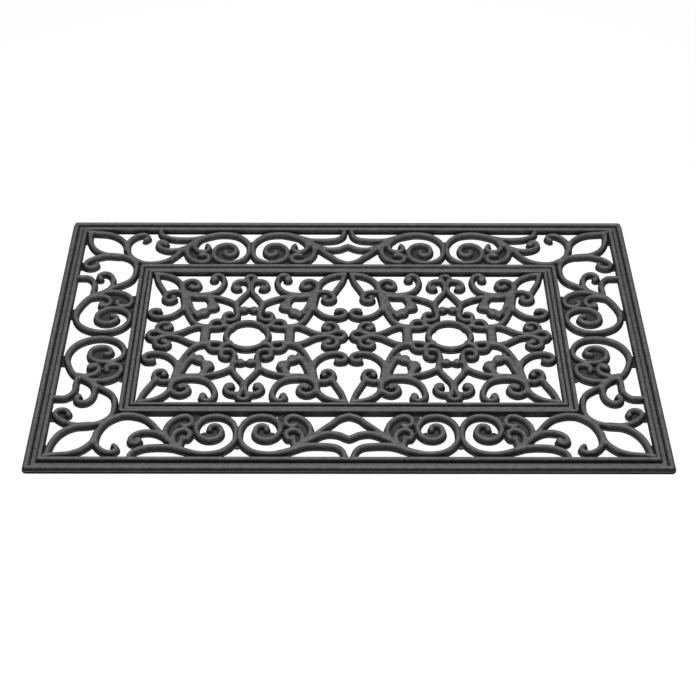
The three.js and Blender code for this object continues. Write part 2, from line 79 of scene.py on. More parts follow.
# Ridge lines of a field quadrant, from the medallion's centre, as shares of the quadrant's
# length and of the field's half depth
FIELD_LINE_SHARES = [
    # stem
    [(0, 0.957), (0.03, 0.944), (0.046, 0.915), (0.044, 0.88), (0.026, 0.85), (0.012, 0.82),
     (0.009, 0.77), (0.012, 0.716), (0.028, 0.677), (0.06, 0.629), (0.1, 0.562), (0.13, 0.5),
     (0.124, 0.428), (0.11, 0.347), (0.112, 0.285), (0.127, 0.252), (0.158, 0.231),
     (0.197, 0.226), (0.229, 0.246), (0.242, 0.281), (0.233, 0.317), (0.205, 0.34),
     (0.176, 0.341)],
    # stem curl
    [(0.03, 0.878), (0.07, 0.874), (0.117, 0.867), (0.151, 0.844), (0.17, 0.806),
     (0.165, 0.765), (0.139, 0.741), (0.113, 0.747)],
    # loop and arc
    [(0.368, 0.148), (0.365, 0.18), (0.343, 0.212), (0.305, 0.226), (0.268, 0.217),
     (0.243, 0.188), (0.234, 0.153), (0.253, 0.128), (0.296, 0.117), (0.363, 0.115),
     (0.42, 0.123), (0.474, 0.148), (0.516, 0.184), (0.546, 0.225), (0.572, 0.277),
     (0.596, 0.332), (0.617, 0.389), (0.635, 0.452), (0.648, 0.519), (0.66, 0.587),
     (0.673, 0.672)],
    # seat on the ring
    [(0.234, 0.153), (0.16, 0.117)],
    # inner arc
    [(0.508, 0.302), (0.526, 0.34), (0.55, 0.382), (0.574, 0.432), (0.591, 0.485),
     (0.606, 0.538), (0.623, 0.596), (0.655, 0.658)],
    # cross branch
    [(0.122, 0.487), (0.18, 0.53), (0.236, 0.563), (0.296, 0.587), (0.36, 0.604),
     (0.423, 0.611), (0.491, 0.611), (0.56, 0.615), (0.628, 0.64)],
    # high scroll
    [(0.38, 0.888), (0.39, 0.922), (0.375, 0.953), (0.341, 0.97), (0.304, 0.957),
     (0.279, 0.92), (0.27, 0.867), (0.278, 0.808), (0.302, 0.746), (0.338, 0.698),
     (0.382, 0.668), (0.441, 0.649), (0.509, 0.643), (0.577, 0.651), (0.636, 0.676),
     (0.676, 0.721), (0.69, 0.774), (0.676, 0.828), (0.637, 0.866), (0.59, 0.878),
     (0.549, 0.858), (0.524, 0.82), (0.526, 0.782), (0.552, 0.756), (0.583, 0.753)],
    # low scroll
    [(0.67, 0.638), (0.656, 0.55), (0.652, 0.468), (0.664, 0.421), (0.686, 0.378),
     (0.718, 0.34), (0.757, 0.307), (0.802, 0.285), (0.857, 0.274), (0.914, 0.281),
     (0.959, 0.307), (0.975, 0.346), (0.958, 0.383), (0.92, 0.396), (0.89, 0.386)],
    # middle curl
    [(0.673, 0.672), (0.712, 0.69), (0.763, 0.694), (0.808, 0.677), (0.841, 0.641),
     (0.855, 0.597), (0.841, 0.558), (0.81, 0.539), (0.774, 0.544), (0.752, 0.571),
     (0.756, 0.599)],
    # corner leaf, top and side
    [(0.684, 0.695), (0.686, 0.755), (0.702, 0.82), (0.734, 0.878), (0.782, 0.926),
     (0.84, 0.959), (0.9, 0.976), (0.955, 0.984)],
    [(0.84, 0.655), (0.877, 0.737), (0.908, 0.802), (0.934, 0.86), (0.949, 0.913),
     (0.962, 0.965), (0.97, 0.989)],
    # foot branch and its small loop
    [(0.458, 0.144), (0.507, 0.132), (0.56, 0.108), (0.609, 0.074), (0.658, 0.041),
     (0.712, 0.021), (0.77, 0.014), (0.824, 0.026), (0.866, 0.058), (0.887, 0.1),
     (0.879, 0.145), (0.845, 0.178), (0.796, 0.183), (0.762, 0.156), (0.759, 0.114)],
    [(0.828, 0.026), (0.863, 0.045), (0.904, 0.057), (0.945, 0.043), (0.968, 0)],
    # bridge between the buds, and the lower bud's seat
    [(0.376, 0.432), (0.44, 0.38)],
    [(0.452, 0.357), (0.542, 0.352)],
]
FIELD_BAR_SHARES = [(0.414, 0), (0.414, 0.12)]
FIELD_STALK_SHARES = [(0.364, 0.46), (0.377, 0.518), (0.408, 0.598)]
FIELD_BRIDGE_SHARES = [(0, 0.412), (0.117, 0.412)]
FIELD_SMALL_BALL_SHARES = [(0.123, 0.774), (0.768, 0.599), (0.89, 0.386)]
FIELD_LARGE_BALL_SHARES = [(0.593, 0.772), (0.799, 0.1), (0.374, 0.905)]
FIELD_BRIDGE_BALL_SHARES = [(0.052, 0.404)]
FIELD_UPPER_BUD_SHARES = [(0.362, 0.457)]
FIELD_LOWER_BUD_SHARES = [(0.452, 0.361)]

# Low webs that close the field's small openings, as lines and their radius. The radius is a
# share of the field's half depth.
FIELD_WEB_SHARES = [
    ([(0.302, 0.173)], 0.05), ([(0.178, 0.29)], 0.045), ([(0, 0.893)], 0.045),
    ([(0.602, 0.797)], 0.064), ([(0.798, 0.598)], 0.06), ([(0.826, 0.105)], 0.06),
    ([(0.907, 0)], 0.058), ([(0.136, 0.807)], 0.038), ([(0.91, 0.335)], 0.048),
]

# Ridge lines of the long border, outward from the line between a pair of facing spirals,
# as shares of the cell's length, and of the border's width from the inner rail
FACING_LINE_SHARES = [
    # spiral
    [(0.565, 0.741), (0.498, 0.811), (0.431, 0.859), (0.363, 0.899), (0.291, 0.913),
     (0.218, 0.902), (0.145, 0.862), (0.087, 0.784), (0.045, 0.689), (0.02, 0.59),
     (0.015, 0.482), (0.02, 0.36), (0.035, 0.275), (0.055, 0.206), (0.086, 0.145),
     (0.125, 0.1), (0.171, 0.073), (0.229, 0.069), (0.287, 0.094), (0.335, 0.153),
     (0.368, 0.243), (0.381, 0.343), (0.371, 0.444), (0.337, 0.536), (0.287, 0.592),
     (0.229, 0.597), (0.177, 0.548), (0.152, 0.47), (0.154, 0.39), (0.167, 0.325),
     (0.2, 0.285), (0.239, 0.295), (0.258, 0.338), (0.256, 0.38)],
    # outer and inner leaf
    [(0.565, 0.72), (0.61, 0.635), (0.64, 0.54), (0.655, 0.44), (0.652, 0.34),
     (0.632, 0.245), (0.597, 0.163), (0.55, 0.1), (0.503, 0.07), (0.463, 0.08),
     (0.434, 0.128), (0.423, 0.198), (0.436, 0.268), (0.478, 0.3), (0.515, 0.285)],
    [(0.542, 0.75), (0.568, 0.66), (0.58, 0.57), (0.573, 0.478), (0.541, 0.41),
     (0.498, 0.38), (0.457, 0.402), (0.434, 0.46), (0.435, 0.527), (0.452, 0.575)],
]
# The leaf's stem, which shows in the front border only
FRONT_LINE_SHARES = [[(0.517, 0.775), (0.507, 0.67), (0.498, 0.56)]]
LONG_END_LINE_SHARES = [
    # arm to the corner
    [(0.618, 0.615), (0.662, 0.52), (0.7, 0.44), (0.738, 0.345), (0.78, 0.243),
     (0.829, 0.152), (0.885, 0.09), (0.95, 0.052), (1.01, 0.038), (1.07, 0.053)],
    # end curl
    [(0.68, 0.5), (0.74, 0.447), (0.803, 0.425), (0.862, 0.435), (0.915, 0.477),
     (0.952, 0.543), (0.962, 0.618), (0.942, 0.675), (0.905, 0.683), (0.882, 0.635)],
    # branch to the outer rail
    [(0.498, 0.811), (0.567, 0.774), (0.645, 0.755), (0.733, 0.755), (0.812, 0.772),
     (0.872, 0.81), (0.922, 0.868), (0.95, 0.95), (0.953, 1.05)],
]
LONG_END_BALL_SHARES = [(0.892, 0.622)]
LONG_MIDDLE_LINE_SHARES = [
    # branch to the outer rail
    [(0.966, 1.05), (0.957, 0.925), (0.942, 0.85), (0.912, 0.788), (0.872, 0.75),
     (0.805, 0.73), (0.728, 0.722), (0.652, 0.725), (0.585, 0.749), (0.518, 0.793),
     (0.45, 0.852), (0.366, 0.9)],
    # middle branch
    [(1, 0.565), (0.965, 0.537), (0.92, 0.488), (0.862, 0.461), (0.803, 0.458),
     (0.745, 0.494), (0.687, 0.557), (0.629, 0.63), (0.578, 0.684), (0.53, 0.74)],
    # low branch
    [(1, 0.05), (0.95, 0.078), (0.893, 0.138), (0.843, 0.232), (0.785, 0.328),
     (0.73, 0.427), (0.685, 0.503), (0.637, 0.583), (0.587, 0.661)],
]
# Low webs of the borders, as lines and their radius. The radius is a share of the border's
# width.
FACING_WEB_SHARES = [
    ([(0, 0.65), (0, 0.71)], 0.04), ([(0.507, 0.175)], 0.15),
    ([(0.584, 0.46), (0.582, 0.27)], 0.1), ([(0.402, 0.37), (0.392, 0.06)], 0.07),
]
FRONT_WEB_SHARES = [
    ([(0.215, 0.425)], 0.108), ([(0.3, 0.46)], 0.075), ([(0.507, 0.465)], 0.16),
    ([(0.556, 0.6)], 0.1),
]
BACK_WEB_SHARES = [([(0.262, 0.41)], 0.19), ([(0.5, 0.45)], 0.08)]
LONG_END_WEB_SHARES = [([(0.918, 0.6)], 0.06)]

# Ridge lines of a corner, from the inner frame's outer corner, as shares of the border's width
CORNER_LINE_SHARES = [
    # long hook
    [(-0.36, 0.085), (-0.27, 0.052), (-0.17, 0.038), (-0.062, 0.052), (0.028, 0.1),
     (0.115, 0.17), (0.177, 0.248), (0.22, 0.338), (0.251, 0.432), (0.266, 0.532),
     (0.264, 0.626), (0.242, 0.712), (0.197, 0.786), (0.133, 0.848), (0.053, 0.886),
     (-0.02, 0.874), (-0.066, 0.826), (-0.06, 0.775), (-0.022, 0.738)],
    # corner leaf, top and side
    [(0.275, 0.453), (0.289, 0.562), (0.324, 0.668), (0.384, 0.755), (0.46, 0.828),
     (0.55, 0.883), (0.65, 0.917), (0.755, 0.93), (0.868, 0.943), (0.985, 0.975)],
    [(0.398, 0.262), (0.515, 0.277), (0.626, 0.312), (0.722, 0.368), (0.799, 0.445),
     (0.855, 0.53), (0.895, 0.622), (0.922, 0.72), (0.937, 0.83), (0.95, 0.95)],
    # arm to the short side, and its curl
    [(0.158, -0.43), (0.1, -0.342), (0.07, -0.235), (0.058, -0.125), (0.065, -0.025),
     (0.098, 0.08), (0.168, 0.173), (0.265, 0.236), (0.385, 0.27), (0.52, 0.281),
     (0.637, 0.264), (0.742, 0.222), (0.832, 0.163), (0.9, 0.095), (0.932, 0.02),
     (0.907, -0.05), (0.838, -0.077), (0.77, -0.055), (0.733, -0.005), (0.735, 0.042)],
]
CORNER_WEB_SHARES = [
    ([(0.825, 0.025)], 0.085), ([(0.975, 0.72), (0.975, 0.98)], 0.05),
    ([(0.03, 0.03)], 0.06), ([(0.97, -0.01), (0.97, 0.07)], 0.068),
]

# Ridge lines of half a short border, as shares of the border's width from the inner rail,
# and of the cell's length from the mat's middle line
SIDE_LINE_SHARES = [
    # hook to the outer rail
    [(0.68, 0.6), (0.705, 0.64), (0.712, 0.69), (0.706, 0.74), (0.712, 0.79),
     (0.738, 0.838), (0.785, 0.874), (0.845, 0.893), (0.92, 0.896), (1, 0.894), (1.05, 0.89)],
    # end hook
    [(0.46, 0.69), (0.426, 0.742), (0.405, 0.806), (0.417, 0.872), (0.452, 0.922),
     (0.512, 0.952), (0.58, 0.957), (0.638, 0.936), (0.66, 0.9), (0.63, 0.868)],
    # spiral
    [(0.67, 0.615), (0.76, 0.566), (0.83, 0.5), (0.885, 0.425), (0.922, 0.345),
     (0.915, 0.262), (0.865, 0.185), (0.782, 0.122), (0.667, 0.077), (0.52, 0.048),
     (0.37, 0.046), (0.24, 0.069), (0.135, 0.114), (0.065, 0.174), (0.038, 0.242),
     (0.055, 0.31), (0.118, 0.36), (0.2, 0.39), (0.3, 0.403), (0.4, 0.397), (0.487, 0.372),
     (0.553, 0.328), (0.578, 0.274), (0.552, 0.222), (0.49, 0.19), (0.415, 0.178),
     (0.34, 0.184), (0.278, 0.208), (0.245, 0.244), (0.265, 0.276), (0.325, 0.283)],
    # outer and inner leaf
    [(0.67, 0.594), (0.59, 0.628), (0.497, 0.652), (0.4, 0.662), (0.288, 0.658),
     (0.185, 0.634), (0.098, 0.592), (0.05, 0.538), (0.05, 0.48), (0.095, 0.444),
     (0.165, 0.434), (0.238, 0.444), (0.285, 0.475), (0.268, 0.51)],
    [(0.7, 0.582), (0.605, 0.593), (0.51, 0.588), (0.433, 0.558), (0.39, 0.514),
     (0.403, 0.468), (0.46, 0.442), (0.525, 0.443)],
    # arm to the corner
    [(0.66, 0.607), (0.545, 0.655), (0.447, 0.7), (0.318, 0.757), (0.233, 0.789),
     (0.158, 0.823), (0.1, 0.869), (0.07, 0.93), (0.058, 0.988), (0.06, 1.043)],
]
SIDE_BALL_SHARES = [(0.624, 0.88)]
SIDE_LEAF_BALL_SHARES = [(0.525, 0.463)]
SIDE_WEB_SHARES = [
    ([(0.4, 0.275)], 0.16), ([(0.172, 0.535)], 0.15), ([(0.46, 0.52)], 0.13),
    ([(0.315, 0.549)], 0.143), ([(0.02, 0.238), (0.02, 0.61)], 0.05),
    ([(0.97, 0.312), (0.97, 0.382)], 0.075), ([(0.33, 0), (0.55, 0)], 0.048),
]

# The field's drawing keeps its shape near the medallion and stretches further out
QUADRANT_LENGTH_SHARE = 0.975
UNSTRETCHED_SHARE = 0.5
RING_RADIUS_SHARE = 0.203

# A strand's section: distance from its ridge as a share of half the foot, and height as a share
# of the strand's. Below zero lie the broad places, such as buds and wide junctions.
STRAND_LEVEL_SHARES = [
    (1, 0.2), (0.86, 0.24), (0.78, 0.52), (0.65, 0.76), (0.48, 0.89), (0.28, 0.965),
    (0.08, 1), (-0.3, 1.015), (-0.9, 1.03),
]

# A web is as high as the section is at this share of half the foot
WEB_LEVEL_SHARE = 0.87

# Points that are closer than this, in metres, are one
MERGE_DISTANCE = 1e-7

# Points in the seam round a medallion's ring
SEAM_POINTS = 180

# Detail of the noise in the rubber's blotches and grain, and the noise values that give the
# darker and the lighter rubber
BLOTCH_DETAIL = 5
GRAIN_DETAIL = 3
BLOTCH_DARK_AT = 0.35
BLOTCH_LIGHT_AT = 0.68

# Rail profiles from the frame's outer edge, as shares of the rail's width and height. Below
# zero the foot flares outward.
OUTER_RAIL_SHARES = [
    (-0.015, 0), (-0.015, 0.2), (0, 0.28), (0.012, 0.306), (0.065, 0.306), (0.074, 0.35),
    (0.08, 0.639), (0.1, 0.75), (0.13, 0.819), (0.17, 0.855), (0.21, 0.865),
    (0.25, 0.845), (0.29, 0.795), (0.325, 0.715), (0.35, 0.6), (0.362, 0.42),
    (0.38, 0.3), (0.392, 0.36), (0.415, 0.43), (0.46, 0.465), (0.54, 0.475), (0.62, 0.46),
    (0.668, 0.42), (0.688, 0.32), (0.702, 0.28), (0.714, 0.4), (0.722, 0.7), (0.74, 0.85),
    (0.775, 0.95), (0.82, 0.99), (0.87, 1), (0.92, 0.97), (0.95, 0.92), (0.975, 0.82),
    (0.99, 0.66), (1, 0.5), (1, 0),
]
INNER_RAIL_SHARES = [
    (-0.035, 0), (-0.03, 0.1), (-0.005, 0.2), (0.02, 0.257), (0.035, 0.32), (0.042, 0.7),
    (0.055, 0.86), (0.085, 0.96), (0.14, 1), (0.2, 1), (0.25, 0.95), (0.29, 0.86),
    (0.318, 0.74), (0.333, 0.58), (0.347, 0.5), (0.36, 0.57), (0.385, 0.68), (0.43, 0.73),
    (0.51, 0.745), (0.59, 0.73), (0.64, 0.68), (0.672, 0.56), (0.687, 0.48), (0.7, 0.6),
    (0.712, 0.8), (0.735, 0.92), (0.78, 0.985), (0.84, 1), (0.9, 0.96), (0.94, 0.87),
    (0.962, 0.74), (0.972, 0.5), (0.975, 0.15), (0.978, 0),
]


def node_box(name):
    low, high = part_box(name)
    return np.array(low), np.array(high)


class Places:
    """The mat's main places in metres, in its quarter at +X +Y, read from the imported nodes."""

    def __init__(self):
        outer_low, outer_high = node_box("outer_rail_back")
        inner_low, inner_high = node_box("inner_rail_back")
        ring_low, ring_high = node_box("medallion_ring_right")
        corner_low, _ = node_box("corner_scroll_right_back")
        self.mat_x = float(CAD_HIGH[0])
        self.mat_y = float(CAD_HIGH[1])
        self.outer_rail_width = float(outer_high[1] - outer_low[1])
        self.outer_rail_height = float(outer_high[2])
        self.inner_rail_width = float(inner_high[1] - inner_low[1])
        self.inner_rail_height = float(inner_high[2])
        self.border_outer_x = self.mat_x - self.outer_rail_width
        self.border_outer_y = float(outer_low[1])
        self.border_inner_y = float(inner_high[1])
        self.border_width = self.border_outer_y - self.border_inner_y
        self.border_inner_x = self.border_outer_x - self.border_width
        self.field_x = self.border_inner_x - self.inner_rail_width
        self.field_y = float(inner_low[1])
        self.medallion_x = float(ring_low[0] + ring_high[0]) / 2
        self.medallion = np.array([self.medallion_x, 0])
        self.ring_radius = RING_RADIUS_SHARE * self.field_y
        self.seam_radius = float(ring_high[0] - ring_low[0]) / 2
        self.corner_from_x = float(corner_low[0])
        self.corner_from_y = float(corner_low[1])
        self.long_cell = self.corner_from_x / 2


PLACES = Places()


# Ridge lines

def smooth_line(points, spacing):
    """Points close together along a smooth line through the given ones (centripetal spline)."""
    points = np.asarray(points, float)
    before = 2 * points[0] - points[1]
    after = 2 * points[-1] - points[-2]
    chain = np.vstack([before, points, after])
    line = [points[0]]
    for four in zip(chain, chain[1:], chain[2:], chain[3:]):
        knots = [0.0]
        for near, far in zip(four, four[1:]):
            knots.append(knots[-1] + math.sqrt(float(np.linalg.norm(far - near))))
        count = max(1, math.ceil(float(np.linalg.norm(four[2] - four[1])) / spacing))
        for step in range(1, count + 1):
            at = knots[1] + (knots[2] - knots[1]) * step / count
            line.append(spline_point(four, knots, at))
    return np.array(line)


def spline_point(points, knots, at):
    """The point at a knot value between the middle two of four points, by repeated blending."""
    def blend(start, end, low, high):
        share = (at - low) / (high - low)
        return (1 - share) * start + share * end

    for reach in (1, 2):
        points = [blend(*pair) for pair in zip(points, points[1:], knots, knots[reach:])]
    return blend(points[0], points[1], knots[1], knots[2])


def on_circle(turns, centre, radius):
    return np.stack([np.cos(turns), np.sin(turns)], axis=1) * radius + centre


# Motifs

class Motif:
    """The ridge lines, balls and webs of one panel in metres, from a drawing in shares."""

    def __init__(self, to_place, web_unit, sizes):
        """to_place turns a pair of shares into a place, and web radii are shares of web_unit."""
        self.to_place = to_place
        self.web_unit = web_unit
        self.sizes = sizes
        self.lines = []
        self.balls = []
        self.webs = []

    def add_lines(self, line_shares, width=None):
        """Adds smooth lines, which are as wide as a strand's foot unless a width is given."""
        half = (width or self.sizes.foot_width) / 2
        for shares in line_shares:
            points = [self.to_place(share) for share in shares]
            self.lines.append((smooth_line(points, self.sizes.line_step), half))

    def add_balls(self, shares, radius):
        self.balls.extend((self.to_place(share), radius) for share in shares)

    def add_webs(self, web_shares):
        for shares, radius_share in web_shares:
            points = np.array([self.to_place(share) for share in shares])
            self.webs.append((points, radius_share * self.web_unit))

    def mirrored(self, axis, at):
        """The motif on the other side of a straight line across an axis."""
        other = Motif(self.to_place, self.web_unit, self.sizes)
        flip = np.array([1.0, 1.0])
        shift = np.zeros(2)
        flip[axis] = -1
        shift[axis] = 2 * at
        other.lines = [(points * flip + shift, half) for points, half in self.lines]
        other.balls = [(centre * flip + shift, radius) for centre, radius in self.balls]
        other.webs = [(points * flip + shift, radius) for points, radius in self.webs]
        return other


def field_motif(sizes, towards_end):
    """A medallion's quadrant, on the side towards the mat's end or on that towards its middle."""
    length = PLACES.field_x - PLACES.medallion_x if towards_end else PLACES.medallion_x
    drawn_length = QUADRANT_LENGTH_SHARE * PLACES.field_y
    direction = 1 if towards_end else -1

    def to_place(share):
        stretch = max(0, share[0] - UNSTRETCHED_SHARE) / (1 - UNSTRETCHED_SHARE)
        along = share[0] * drawn_length + stretch * (length - drawn_length)
        return np.array([PLACES.medallion_x + direction * along, share[1] * PLACES.field_y])

    motif = Motif(to_place, PLACES.field_y, sizes)
    motif.add_lines(FIELD_LINE_SHARES)
    motif.add_lines([FIELD_BAR_SHARES], sizes.bar_width)
    motif.add_lines([FIELD_STALK_SHARES], sizes.stalk_width)
    motif.add_lines([FIELD_BRIDGE_SHARES], sizes.bridge_width)
    motif.add_balls(FIELD_SMALL_BALL_SHARES, sizes.small_ball_radius)
    motif.add_balls(FIELD_LARGE_BALL_SHARES, sizes.large_ball_radius)
    motif.add_balls(FIELD_BRIDGE_BALL_SHARES, sizes.bridge_ball_radius)
    motif.add_balls(FIELD_UPPER_BUD_SHARES, sizes.upper_bud_radius)
    motif.add_balls(FIELD_LOWER_BUD_SHARES, sizes.lower_bud_radius)
    motif.add_webs(FIELD_WEB_SHARES)
    return motif


def long_motif(sizes, towards_end, at_front):
    """A long border's spiral, leaves and branches, on one side of the line between spirals."""
    direction = 1 if towards_end else -1

    def to_place(share):
        return np.array([
            PLACES.long_cell * (1 + direction * share[0]),
            PLACES.border_inner_y + share[1] * PLACES.border_width,
        ])

    motif = Motif(to_place, PLACES.border_width, sizes)
    motif.add_lines(FACING_LINE_SHARES)
    motif.add_lines(LONG_END_LINE_SHARES if towards_end else LONG_MIDDLE_LINE_SHARES)
    motif.add_webs(FACING_WEB_SHARES)
    if at_front:
        motif.add_lines(FRONT_LINE_SHARES)
    motif.add_webs(FRONT_WEB_SHARES if at_front else BACK_WEB_SHARES)
    if towards_end:
        motif.add_balls(LONG_END_BALL_SHARES, sizes.large_ball_radius)
        motif.add_webs(LONG_END_WEB_SHARES)
    return motif


def corner_motif(sizes):
    """The corner leaf, the long hook and the arm to the short side."""
    corner = np.array([PLACES.border_inner_x, PLACES.border_inner_y])

    def to_place(share):
        return corner + np.array(share) * PLACES.border_width

    motif = Motif(to_place, PLACES.border_width, sizes)
    motif.add_lines(CORNER_LINE_SHARES)
    motif.add_webs(CORNER_WEB_SHARES)
    return motif


def side_motif(sizes):
    """A short border's spiral, leaves and hooks, back of the mat's middle line."""
    def to_place(share):
        return np.array([
            PLACES.border_inner_x + share[0] * PLACES.border_width,
            share[1] * PLACES.corner_from_y,
        ])

    motif = Motif(to_place, PLACES.border_width, sizes)
    motif.add_lines(SIDE_LINE_SHARES)
    motif.add_balls(SIDE_BALL_SHARES, sizes.small_ball_radius)
    motif.add_balls(SIDE_LEAF_BALL_SHARES, sizes.large_ball_radius)
    motif.add_webs(SIDE_WEB_SHARES)
    return motif


# Relief

# How a contour crosses a square of the map, with the relief on its left, by the sum of the
# corners that lie inside it: 1, 2, 4 and 8, from the bottom left one anticlockwise
BOTTOM, RIGHT, TOP, LEFT = range(4)
SQUARE_LINES = {
    1: [(BOTTOM, LEFT)], 2: [(RIGHT, BOTTOM)], 3: [(RIGHT, LEFT)], 4: [(TOP, RIGHT)],
    6: [(TOP, BOTTOM)], 7: [(TOP, LEFT)], 8: [(LEFT, TOP)], 9: [(BOTTOM, TOP)],
    11: [(RIGHT, TOP)], 12: [(LEFT, RIGHT)], 13: [(BOTTOM, RIGHT)], 14: [(LEFT, BOTTOM)],
}

# The same where two opposite corners lie inside, by the sum and whether the middle does too
SADDLE_LINES = {
    (5, True): [(BOTTOM, RIGHT), (TOP, LEFT)], (5, False): [(BOTTOM, LEFT), (TOP, RIGHT)],
    (10, True): [(LEFT, BOTTOM), (RIGHT, TOP)], (10, False): [(RIGHT, BOTTOM), (LEFT, TOP)],
}


def span(values, low, high):
    """The slice of sorted values that lie between two limits."""
    return slice(np.searchsorted(values, low), np.searchsorted(values, high))


class Relief:
    """A map of the distance to the nearest ridge line, over one rectangle of the mat."""

    # Farther in metres than any place on the mat is from another
    FAR = 1.0

    def __init__(self, low, high, sizes):
        self.half_foot = sizes.foot_width / 2
        self.fillet = sizes.fillet
        self.height = sizes.strand_height
        self.low = np.array(low, float)
        self.high = np.array(high, float)
        counts = np.ceil((self.high - self.low) / sizes.mesh_step).astype(int) + 1
        self.x = np.linspace(low[0], high[0], counts[0])
        self.y = np.linspace(low[1], high[1], counts[1])
        self.distance = np.full((counts[1], counts[0]), self.FAR)

    def lower(self, rows, columns, own, fillet):
        """Brings the map down to a new distance, with a fillet (a smooth minimum) between them."""
        old = self.distance[rows, columns]
        low = np.minimum(old, own)
        if fillet:
            meet = np.clip(1 - np.abs(old - own) / fillet, 0, 1)
            low = low - meet * meet * fillet / 4
        self.distance[rows, columns] = low

    def gaps(self, points, radius):
        """The part of the map that a line can change, and the distance to the line in it."""
        reach = radius + 2 * self.fillet
        low = points.min(0) - reach
        high = points.max(0) + reach
        rows = span(self.y, low[1], high[1])
        columns = span(self.x, low[0], high[0])
        x = self.x[columns]
        y = self.y[rows]
        # Places that no stretch of the line reaches stay farther than all on the map
        nearest = np.full((len(y), len(x)), 2 * self.FAR)
        for start, end in zip(points, points[1:] if len(points) > 1 else points):
            low = np.minimum(start, end) - reach
            high = np.maximum(start, end) + reach
            near_x = span(x, low[0], high[0])
            near_y = span(y, low[1], high[1])
            along = end - start
            to_x = x[near_x][None, :] - start[0]
            to_y = y[near_y][:, None] - start[1]
            length = max(along @ along, MERGE_DISTANCE ** 2)
            share = np.clip((to_x * along[0] + to_y * along[1]) / length, 0, 1)
            gap = np.hypot(to_x - share * along[0], to_y - share * along[1])
            nearest[near_y, near_x] = np.minimum(nearest[near_y, near_x], gap)
        return rows, columns, nearest

    def add_line(self, points, radius, fillet):
        """A strand along a line. One point alone gives a ball."""
        rows, columns, gap = self.gaps(points, radius)
        self.lower(rows, columns, gap - (radius - self.half_foot), fillet)

    def add_web(self, points, radius):
        """A low skin: its distance is held where the section is lowest."""
        rows, columns, gap = self.gaps(points, radius)
        skin = np.maximum(gap - (radius - self.half_foot), WEB_LEVEL_SHARE * self.half_foot)
        self.lower(rows, columns, skin, 0)

    def add_motif(self, motif, fillet):
        for points, radius in motif.lines:
            self.add_line(points, radius, fillet)
        for centre, radius in motif.balls:
            self.add_line(centre[None, :], radius, fillet)
        for points, radius in motif.webs:
            self.add_web(points, radius)

    def add_with_mirrors(self, motif, mirrors):
        """Adds a motif with fillets, and its mirror images beyond the cell without."""
        self.add_motif(motif, self.fillet)
        for axis, at in mirrors:
            self.add_motif(motif.mirrored(axis, at), 0)

    def levels(self):
        return [(share * self.half_foot, rise * self.height) for share, rise in STRAND_LEVEL_SHARES]

    def height_at(self, points):
        """Heights by the distance map, for points that lie on no contour."""
        column = (points[:, 0] - self.low[0]) / (self.x[1] - self.x[0])
        row = (points[:, 1] - self.low[1]) / (self.y[1] - self.y[0])
        column = np.clip(column, 0, len(self.x) - 1)
        row = np.clip(row, 0, len(self.y) - 1)
        left = np.minimum(column.astype(int), len(self.x) - 2)
        below = np.minimum(row.astype(int), len(self.y) - 2)
        to_right = column - left
        to_top = row - below
        bottom, top = (
            self.distance[line, left] * (1 - to_right) + self.distance[line, left + 1] * to_right
            for line in (below, below + 1)
        )
        distance = bottom * (1 - to_top) + top * to_top
        levels, rises = zip(*sorted(self.levels()))
        return np.interp(distance, levels, rises)

    def contour(self, level):
        """The points and directed edges of one contour, with the relief on each edge's left."""
        inside = self.distance < level
        across = inside[:, :-1] != inside[:, 1:]
        upward = inside[:-1, :] != inside[1:, :]
        across_id = np.full(across.shape, -1)
        upward_id = np.full(upward.shape, -1)
        across_id[across] = np.arange(across.sum())
        upward_id[upward] = np.arange(upward.sum()) + across.sum()
        points = np.vstack([
            self.crossings(level, np.nonzero(across), (0, 1)),
            self.crossings(level, np.nonzero(upward), (1, 0)),
        ])
        rims = np.stack([across_id[:-1], upward_id[:, 1:], across_id[1:], upward_id[:, :-1]])
        sums = inside[:-1, :-1] + 2 * inside[:-1, 1:] + 4 * inside[1:, 1:] + 8 * inside[1:, :-1]
        edges = []
        for row, column in zip(*np.nonzero((rims >= 0).any(0))):
            lines = SQUARE_LINES.get(sums[row, column])
            if not lines:
                middle = self.distance[row:row + 2, column:column + 2].mean()
                lines = SADDLE_LINES[sums[row, column], middle < level]
            edges.extend((rims[start, row, column], rims[end, row, column]) for start, end in lines)
        return points, edges

    def crossings(self, level, where, step):
        """The places between two neighbours of the map at which the distance is the level."""
        row, column = where
        start = self.distance[row, column]
        end = self.distance[row + step[0], column + step[1]]
        share = (level - start) / (end - start)
        x = self.x[column] + share * (self.x[column + step[1]] - self.x[column])
        y = self.y[row] + share * (self.y[row + step[0]] - self.y[row])
        return np.stack([x, y], axis=1)


# Skins

def fill_outline(points, edges, outline_count):
    """Triangles left of the directed outline edges, which come first among the edges. Gives the
    points, the triangles and which of the given points each point stands for."""
    places, drawn, faces, point_origins, edge_origins, _ = delaunay_2d_cdt(
        [Vector(point) for point in points], edges, [], 0, MERGE_DISTANCE, True,
    )
    coords = np.array([tuple(place) for place in places])
    triangles = [tuple(face) for face in faces]
    owner = {}
    for index, (a, b, c) in enumerate(triangles):
        owner[a, b] = owner[b, c] = owner[c, a] = index
    walls = set()
    stack = []
    for (a, b), origins in zip(drawn, edge_origins):
        outline = [origin for origin in origins if origin < outline_count]
        if not outline:
            continue
        start, end = edges[outline[0]]
        if (coords[b] - coords[a]) @ (points[end] - points[start]) < 0:
            a, b = b, a
        walls.update(((a, b), (b, a)))
        if (a, b) in owner:
            stack.append(owner[a, b])
    # From the triangles at the outline inward, to all that no outline edge shuts off
    kept = set()
    while stack:
        index = stack.pop()
        if index in kept:
            continue
        kept.add(index)
        a, b, c = triangles[index]
        for edge in ((b, a), (c, b), (a, c)):
            if edge not in walls and edge in owner:
                stack.append(owner[edge])
    return coords, [triangles[index] for index in sorted(kept)], point_origins


